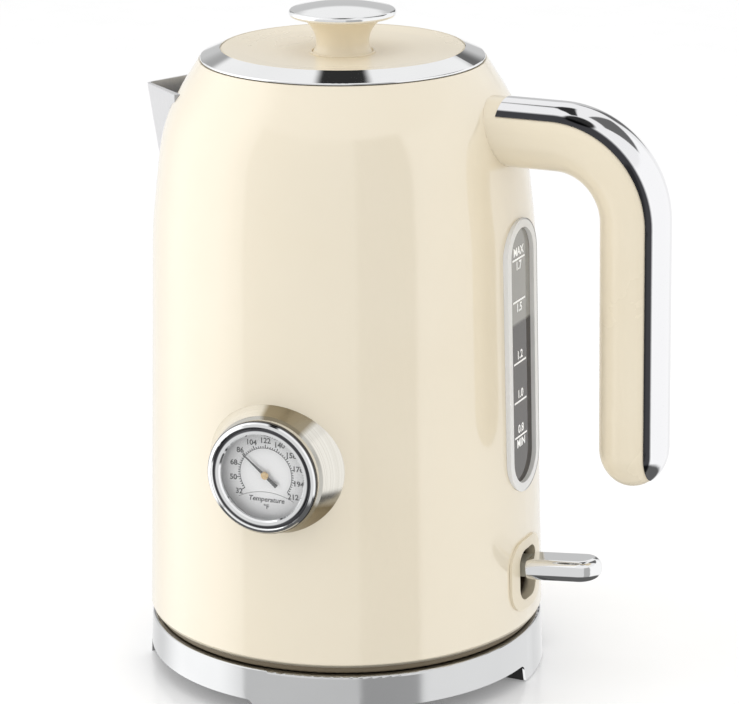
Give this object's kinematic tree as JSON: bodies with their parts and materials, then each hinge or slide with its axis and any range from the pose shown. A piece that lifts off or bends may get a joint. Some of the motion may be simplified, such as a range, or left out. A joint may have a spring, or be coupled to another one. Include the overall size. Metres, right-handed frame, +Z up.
{
  "type": "electric kettle",
  "caption": "Cordless electric kettle in cream enamel with a lift-off lid, V spout, loop handle, sight window, front thermometer, rocker lever and a chrome powered base.",
  "frame": {"origin": "on the kettle's vertical axis, at the level of the surface that the base's rubber pads stand on", "axes": "+Z up; +X towards the handle, sight window and lever; -X towards the spout; the thermometer faces close to -Y"},
  "size_m": [0.203, 0.1548, 0.2447],
  "materials": {
    "cream_paint": "gloss enamel",
    "cream_plastic": "gloss moulded",
    "chrome": "mirror plated",
    "brushed_steel": "fine brushed",
    "inner_steel": "satin",
    "aluminium": "cast",
    "black_plastic": "fine grain",
    "rubber": "matt",
    "silicone": "matt translucent",
    "clear": "clear moulded plastic",
    "glass": "clear flat",
    "dial_white": "printed metal disc",
    "brass": "bright",
    "needle_black": "satin paint",
    "lever_grey": "satin",
    "amber": "tinted clear",
    "screw_steel": "zinc plated"
  },
  "bodies": {
    "base": {"base_skirt": "chrome", "base_deck": "black_plastic", "base_pan": "black_plastic", "base_feet": "rubber", "base_connector": "black_plastic", "connector_contacts": "brass", "base_screws": "screw_steel", "cord_gland": "black_plastic", "cord_clamp": "black_plastic", "clamp_screws": "screw_steel"},
    "kettle": {"body_shell": "cream_paint", "heating_plate": "inner_steel", "heat_spreader": "aluminium", "heating_element": "aluminium", "heater_posts": "screw_steel", "control_unit": "black_plastic", "connector_rings": "brass", "bottom_cover": "black_plastic", "bottom_screws": "screw_steel", "spout": "brushed_steel", "spout_filter": "inner_steel", "handle_grip": "cream_plastic", "handle_trim": "chrome", "handle_screws": "screw_steel", "window_frame": "clear", "window_pane": "clear", "window_gasket": "silicone", "window_clamp": "cream_plastic", "gauge_housing": "brushed_steel", "gauge_ring": "chrome", "gauge_dial": "dial_white", "gauge_lens": "glass", "gauge_probe": "inner_steel", "gauge_gasket": "silicone", "gauge_nut": "screw_steel", "switch_bezel": "cream_plastic", "switch_housing": "black_plastic", "lever_pin": "screw_steel", "indicator_lamp": "amber", "steam_tube": "inner_steel", "steam_grommet": "silicone", "steam_thermostat": "black_plastic"},
    "lid": {"lid_rim": "chrome", "lid_cover": "cream_plastic", "lid_plug": "black_plastic", "lid_seal": "silicone", "lid_underplate": "inner_steel", "knob_stem": "cream_plastic", "knob_cap": "chrome", "lid_screw": "screw_steel"},
    "lever": {"lever_arm": "lever_grey", "lever_tip": "chrome"},
    "needle": {"needle": "needle_black", "needle_hub": "brass"}
  },
  "joints": [
    {"name": "kettle_lift", "type": "slide", "parent": "base", "child": "kettle", "axis": [0, 0, 1], "range_m": [0, 0.08]},
    {"name": "lid_lift", "type": "slide", "parent": "kettle", "child": "lid", "axis": [0, 0, 1], "range_m": [0, 0.06]},
    {"name": "lever_rock", "type": "hinge", "parent": "kettle", "child": "lever", "pos_m": [0.056, 0, 0.043], "axis": [0, 1, 0], "range_deg": [0, 14]},
    {"name": "needle_turn", "type": "hinge", "parent": "kettle", "child": "needle", "pos_m": [0.00584, -0.07949, 0.0935], "axis": [-0.0732, 0.9973, 0], "range_deg": [-75, 175]}
  ]
}
